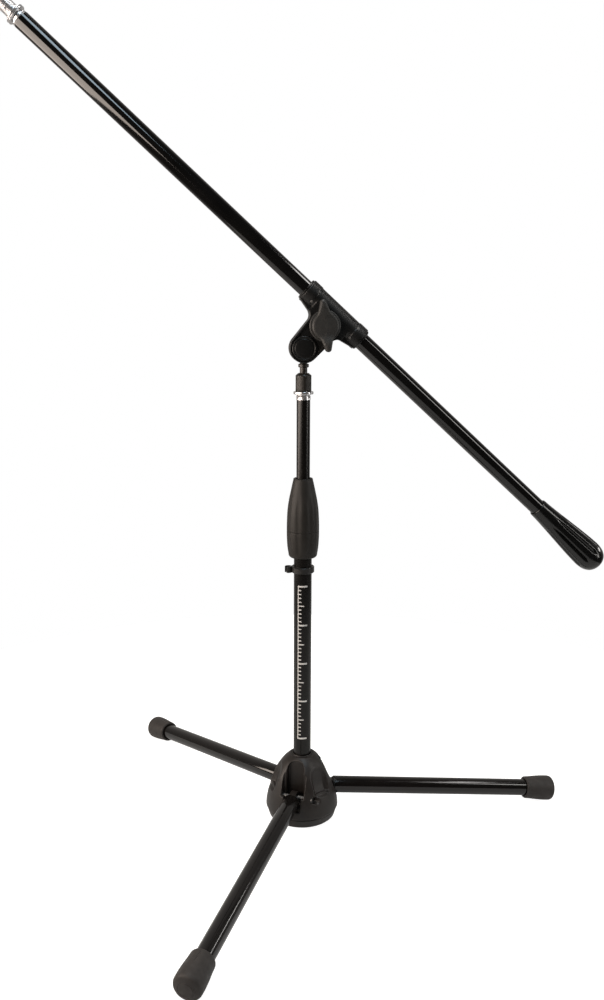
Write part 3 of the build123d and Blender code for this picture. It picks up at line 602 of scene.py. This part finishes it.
def make_lock_rings():
    """The plain plated ring on the column and the double-flanged one on the boom's nose."""
    low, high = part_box("lock_ring")
    bottom, top = low.z / MM, high.z / MM
    outline = [(8.0, bottom), (10.9, bottom)] + corner((10.9, bottom + 0.78), 0.78, -90, 0)
    outline += corner((10.9, top - 0.78), 0.78, 0, 90) + [(8.0, top)]
    ring = lathe("column_lock_ring", COLUMN, outline, 128)
    shown(ring, "upper_column", "chrome", CHROME, "lock_ring")
    start = MIC_RING_START
    outline = [(7.65, start), (10.4, start)] + corner((10.4, start + 1.2), 1.25, -90, 0)
    outline += [(11.1, start + 1.9)] + corner((10.9, start + 3.4), 0.78, -60, 90) + [(9.4, start + 4.4)]
    outline += corner((8.9, start + 5.1), 0.5, -30, 90) + [(7.65, start + 5.6)]
    ring = lathe("mic_lock_ring_skin", BOOM, outline, 144)
    shown(ring, "boom", "chrome", CHROME, "mic_lock_ring")


def make_socket_nut():
    """Fine diamond knurling on the barrel, a plain chamfer above it."""
    low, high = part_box("socket_nut")
    bottom, top = low.z / MM, high.z / MM

    def diamond(turn, r, h):
        if r < 9.2 or not bottom + 1.2 <= h <= top - 3.6:
            return r
        a = wave(26 * turn / (2 * pi) + h / 2.3)
        b = wave(26 * turn / (2 * pi) - h / 2.3)
        return r - 0.32 * (1 - min(a, b) * 1.6 if min(a, b) < 0.5 else 0.2)

    outline = [(8.0, bottom), (8.8, bottom), (9.25, bottom + 0.5)]
    outline += steps_between(9.28, bottom + 0.7, top - 3.0, 5)
    outline += [(9.2, top - 2.7), (6.3, top - 0.1), (4.5, top - 0.1), (4.5, top - 3), (8.0, top - 5.5)]
    shown(lathe("socket_nut_knurled", COLUMN, outline, 208, diamond), "upper_column", "socket_metal", SOCKET,
          "socket_nut")


# ---------------------------------------------------------------- boom head

def make_head():
    for side, node in (("front", "clamp_shell_front"), ("back", "clamp_shell_back")):
        cheek = softened(f"head_cheek_{side}", [node], 0.5, 10)
        shown(cheek, "boom_head", "shell_plastic", SHELL, node, smooth_angle=None)
    floor_h = HEAD_HALF_DEPTH - 1.5
    rise = through([(14.15, floor_h + 1.6), (13.9, floor_h + 2.4), (13.3, floor_h + 2.75),
                    (12.3, floor_h + 2.7), (11.9, floor_h + 2.1), (11.3, floor_h + 1.9),
                    (10.8, floor_h + 2.2), (10.2, floor_h + 2.55), (6, floor_h + 2.78)], 4)
    outline = [(0, floor_h), (14.15, floor_h)] + rise + [(0, floor_h + 2.8)]
    for side, place in (("front", HEAD_FRONT), ("back", HEAD_BACK)):
        cap = lathe(f"pivot_cap_{side}", place, outline, 112)
        shown(cap, "boom_head", "shell_plastic", SHELL, f"pivot_cover_{side}")
    boss = softened("knob_boss", ["knob_bezel"], 0.4, 3)
    shown(boss, "boom_head", "knob_plastic", KNOB_LOOK, "knob_bezel", smooth_angle=None)


def knob_outline(turn):
    """How far the knob reaches at an angle: a disc with two tapered wings blended into it."""
    reach = KNOB_R - 0.1
    for wing in (0, pi):
        away = abs((turn - wing + pi) % (2 * pi) - pi)
        if away > radians(88):
            continue
        across, along_wing = sin(away), cos(away)
        if KNOB_TIP * across < KNOB_TIP_R * 0.93:
            wing_reach = KNOB_TIP * along_wing + (KNOB_TIP_R ** 2 - (KNOB_TIP * across) ** 2) ** 0.5
        else:
            wing_reach = KNOB_BASE / (across + (KNOB_BASE - KNOB_TIP_R) / KNOB_TIP * along_wing)
        reach = (reach ** 14 + wing_reach ** 14) ** (1 / 14)
    return min(reach, KNOB_TIP + KNOB_TIP_R)


def make_wing_knob():
    """The wing knob: rounded edges all round, and wings that stand a little proud of the disc."""
    lean = radians(KNOB_LEAN)
    place = axes(KNOB_CENTRE, (0, -1, 0), (-sin(lean), 0, cos(lean)))
    sides = 360
    turns = [2 * pi * i / sides for i in range(sides)]
    rim = [Vector((knob_outline(t) * cos(t), knob_outline(t) * sin(t))) for t in turns]
    inward = []
    for i in range(sides):
        run = rim[(i + 2) % sides] - rim[i - 2]
        inward.append(Vector((-run.y, run.x)).normalized())
    layers = [(17.2, 1.0), (17.5, 0.35), (18.2, 0.0), (21.0, 0.0), (22.4, 0.15), (23.3, 0.6), (23.9, 1.2),
              (24.25, 1.9), (24.45, 2.7)]
    bm = bmesh.new()
    rings = []

    def height(point, base):
        return base + 3.2 * ramp(abs(point.x), 9.0, 22.0) * (1 if base > 20 else 0)

    for base, inset in layers:
        ring = []
        for point, normal in zip(rim, inward):
            at = point + normal * inset
            ring.append(bm.verts.new((at.x, at.y, height(at, base))))
        rings.append(ring)
    face = [Vector(v.co.xy) for v in rings[-1]]
    for share in (0.9, 0.78, 0.64, 0.5, 0.35, 0.2, 0.08):
        dome = 24.45 + 0.55 * (1 - share ** 2)
        rings.append([bm.verts.new((p.x * share, p.y * share, height(p * share, dome))) for p in face])
    back = [bm.verts.new((p.x * 0.3, p.y * 0.3, 17.2)) for p in face]
    rings.insert(0, back)
    for low, high in zip(rings, rings[1:]):
        for i in range(sides):
            j = (i + 1) % sides
            bm.faces.new([low[i], low[j], high[j], high[i]])
    bm.faces.new(rings[-1])
    bm.faces.new(list(reversed(back)))
    knob = finish_mesh(bm, "wing_knob_moulding", place)
    shown(knob, "knob", "knob_plastic", KNOB_LOOK, "wing_knob", smooth_angle=50)


# ---------------------------------------------------------------- boom

def make_boom_tube():
    inner = BOOM_R - BOOM_WALL
    start, end = -HANDLE_START - 60, BOOM_MIC_END
    outline = [(inner, start), (BOOM_R, start)] + [(BOOM_R, start + 120 * i) for i in range(1, 7)]
    outline += [(BOOM_R, end - 0.3), (BOOM_R - 0.3, end), (inner, end)]
    shown(lathe("boom_tube_skin", BOOM, outline, 144), "boom", "gloss_black_paint", GLOSS, "boom_tube")


def make_nose():
    """The chrome end: shoulder, relief, threaded nose with a cross hole, open bore."""
    outline = [(4.6, 433), (8.8, 433), (8.8, BOOM_MIC_END), (9.3, BOOM_MIC_END), (9.58, 454.1),
               (9.58, 456.1), (9.3, 456.4), (7.6, 456.4), (7.6, 464.6)]
    outline += steps_between(THREAD_R, 465.0, 478.6, 9)
    outline += [(7.5, 479.2), (6.9, NOSE_END), (5.2, NOSE_END), (4.6, 479.1)]
    nose = lathe("mic_nose", BOOM, outline, 96, thread(THREAD_R, 465.0, 478.6, 0.3))
    facing = Vector((-0.25, -0.92, -0.28)).cross(BOOM_AXIS).cross(-BOOM_AXIS)
    hole = axes(BOOM_CENTRE + BOOM_AXIS * 470.0 * MM, facing, BOOM_AXIS)
    drilled(nose, hole, 1.4, 12)
    shown(nose, "boom", "chrome", CHROME, "mic_adaptor")


def fluted(turn, r, h):
    """Eight long grooves that grow with the taper and end round."""
    if r < 11:
        return r
    fade = ramp(h, 22, 46) * (1 - ramp(h, 84, 92))
    across = wave(8 * turn / (2 * pi) + 0.5)
    dip = max(0.0, 1 - across / (0.30 + 0.16 * fade))
    return r - 2.3 * fade * dip ** 1.25


def make_handle():
    outline = [(BOOM_R + 0.03, 1.2), (10.3, 0.25), (10.9, 0.05), (11.3, 0.4), (11.5, 1.0)]
    outline += through([(11.55, 1.6), (12.0, 10), (12.9, 22), (14.5, 40), (16.3, 60), (17.5, 76),
                        (17.98, 87)], 10)
    outline += through([(17.98, 88), (17.6, 93), (16.2, 98.5), (13.2, 103.6), (8.5, 107.0),
                        (3.5, 108.25)], 6)
    outline += [(0, HANDLE_LENGTH)]
    shown(lathe("handle_fluted", HANDLE, outline, 192, fluted, closed=False), "boom", "handle_gloss",
          HANDLE_LOOK, "boom_handle")


# ---------------------------------------------------------------- studio

def camera_sees(tree, seen, otherwise):
    """A value that is one thing to the camera and another to lighting and reflections."""
    path = tree.nodes.new("ShaderNodeLightPath")
    return ranged(tree, path.outputs["Is Camera Ray"], otherwise, seen, 0.0, 1.0)


def make_floor():
    """A small pale floor that burns out to white before the camera."""
    bm = bmesh.new()
    bmesh.ops.create_circle(bm, cap_ends=True, segments=96, radius=FLOOR_R)
    mesh = bpy.data.meshes.new("floor")
    bm.to_mesh(mesh)
    bm.free()
    ground = bpy.data.objects.new("floor", mesh)
    bpy.context.scene.collection.objects.link(ground)
    material, tree, shader, coords = new_material("floor_white")
    tone = ramped(tree, noise(tree, coords, 3, 3), [(0.3, (0.44, 0.44, 0.43)), (0.7, (0.47, 0.47, 0.46))])
    tree.links.new(tone, shader.inputs["Base Color"])
    shader.inputs["Emission Color"].default_value = (1, 1, 1, 1)
    tree.links.new(camera_sees(tree, 0.93, 0.22), shader.inputs["Emission Strength"])
    shader.inputs["Roughness"].default_value = 0.8
    shader.inputs["Specular IOR Level"].default_value = 0.1
    mesh.materials.append(material)


def area_light(name, place, target, wide, size, energy, colour):
    """A soft box facing the target; its width runs along the wide direction."""
    data = bpy.data.lights.new(name, "AREA")
    data.shape = "RECTANGLE"
    data.size, data.size_y = size
    data.energy = energy
    data.color = colour
    light = bpy.data.objects.new(name, data)
    light.matrix_world = axes(Vector(place), Vector(place) - Vector(target), wide)
    light.visible_camera = False
    bpy.context.scene.collection.objects.link(light)


def make_studio():
    """A dark room with a dim wall behind the stand, a white backdrop and a few soft boxes."""
    world = bpy.data.worlds.new("studio")
    bpy.context.scene.world = world
    world.use_nodes = True
    tree = world.node_tree
    room = tree.nodes["Background"]
    room.inputs["Color"].default_value = (1.0, 0.95, 0.90, 1)
    coords = tree.nodes.new("ShaderNodeTexCoord")
    split = tree.nodes.new("ShaderNodeSeparateXYZ")
    tree.links.new(coords.outputs["Generated"], split.inputs[0])
    tree.links.new(ranged(tree, split.outputs["Y"], 0.035, 0.5, 0.0, 0.9), room.inputs["Strength"])
    backdrop = tree.nodes.new("ShaderNodeBackground")
    backdrop.inputs["Color"].default_value = (1, 1, 1, 1)
    backdrop.inputs["Strength"].default_value = 1.0
    path = tree.nodes.new("ShaderNodeLightPath")
    mix = tree.nodes.new("ShaderNodeMixShader")
    tree.links.new(path.outputs["Is Camera Ray"], mix.inputs[0])
    tree.links.new(room.outputs[0], mix.inputs[1])
    tree.links.new(backdrop.outputs[0], mix.inputs[2])
    tree.links.new(mix.outputs[0], tree.nodes["World Output"].inputs["Surface"])
    mic_end = BOOM_CENTRE + BOOM_AXIS * 0.4
    area_light("overhead", (-0.05, 0.1, 2.4), (0, 0, 0.4), (1, 0, 0), (0.7, 0.7), 24, (1.0, 0.96, 0.92))
    area_light("cool_top", (0.25, -1.0, 2.2), mic_end, (1, 0, 0), (0.35, 1.0), 11, (0.70, 0.87, 1.0))
    area_light("warm_left", (-1.07, -0.42, 0.62), mic_end, (0.5, -1.4, 0.3), (1.6, 0.6), 24,
               (1.0, 0.87, 0.77))
    area_light("right_strip", (1.5, -0.7, 0.9), (0, 0, 0.45), (0, 1, 0), (0.25, 1.5), 9, (1.0, 0.97, 0.93))
    area_light("right_top", (1.4, -0.2, 2.1), (0.1, 0, 0.1), (0, 1, 0), (0.8, 0.12), 3.6, (1.0, 0.97, 0.94))
    area_light("right_back", (1.15, 0.15, 0.58), (-0.15, -0.3, 0.02), (0, 1, 0.2), (0.3, 0.07), 0.9,
               (1.0, 0.97, 0.94))


def make_camera():
    data = bpy.data.cameras.new("camera")
    data.sensor_fit = "AUTO"
    data.sensor_width = 36.0
    data.lens = 34.07
    camera = bpy.data.objects.new("camera", data)
    heading = Vector((0.0769, 0.997, 0)).normalized()
    pitch = -0.1945
    look = heading * cos(pitch) + Vector((0, 0, sin(pitch)))
    right = look.cross(Vector((0, 0, 1))).normalized()
    up = right.cross(look)
    roll = 0.0036
    side = right * cos(roll) + up * sin(roll)
    top = side.cross(look)
    turn = Matrix((side, top, -look)).transposed().to_4x4()
    camera.matrix_world = Matrix.Translation((-0.0861, -1.1001, 0.6363)) @ turn
    bpy.context.scene.collection.objects.link(camera)
    bpy.context.scene.camera = camera


dress_cad_nodes()
make_hub()
for leg in LEG_NAMES:
    make_leg(leg)
make_lower_tube()
make_upper_tube()
make_grip()
make_thread_stud()
make_lock_rings()
make_socket_nut()
make_head()
make_wing_knob()
make_boom_tube()
make_nose()
make_handle()
make_floor()
make_studio()
make_camera()
bpy.context.scene.view_settings.view_transform = "Standard"
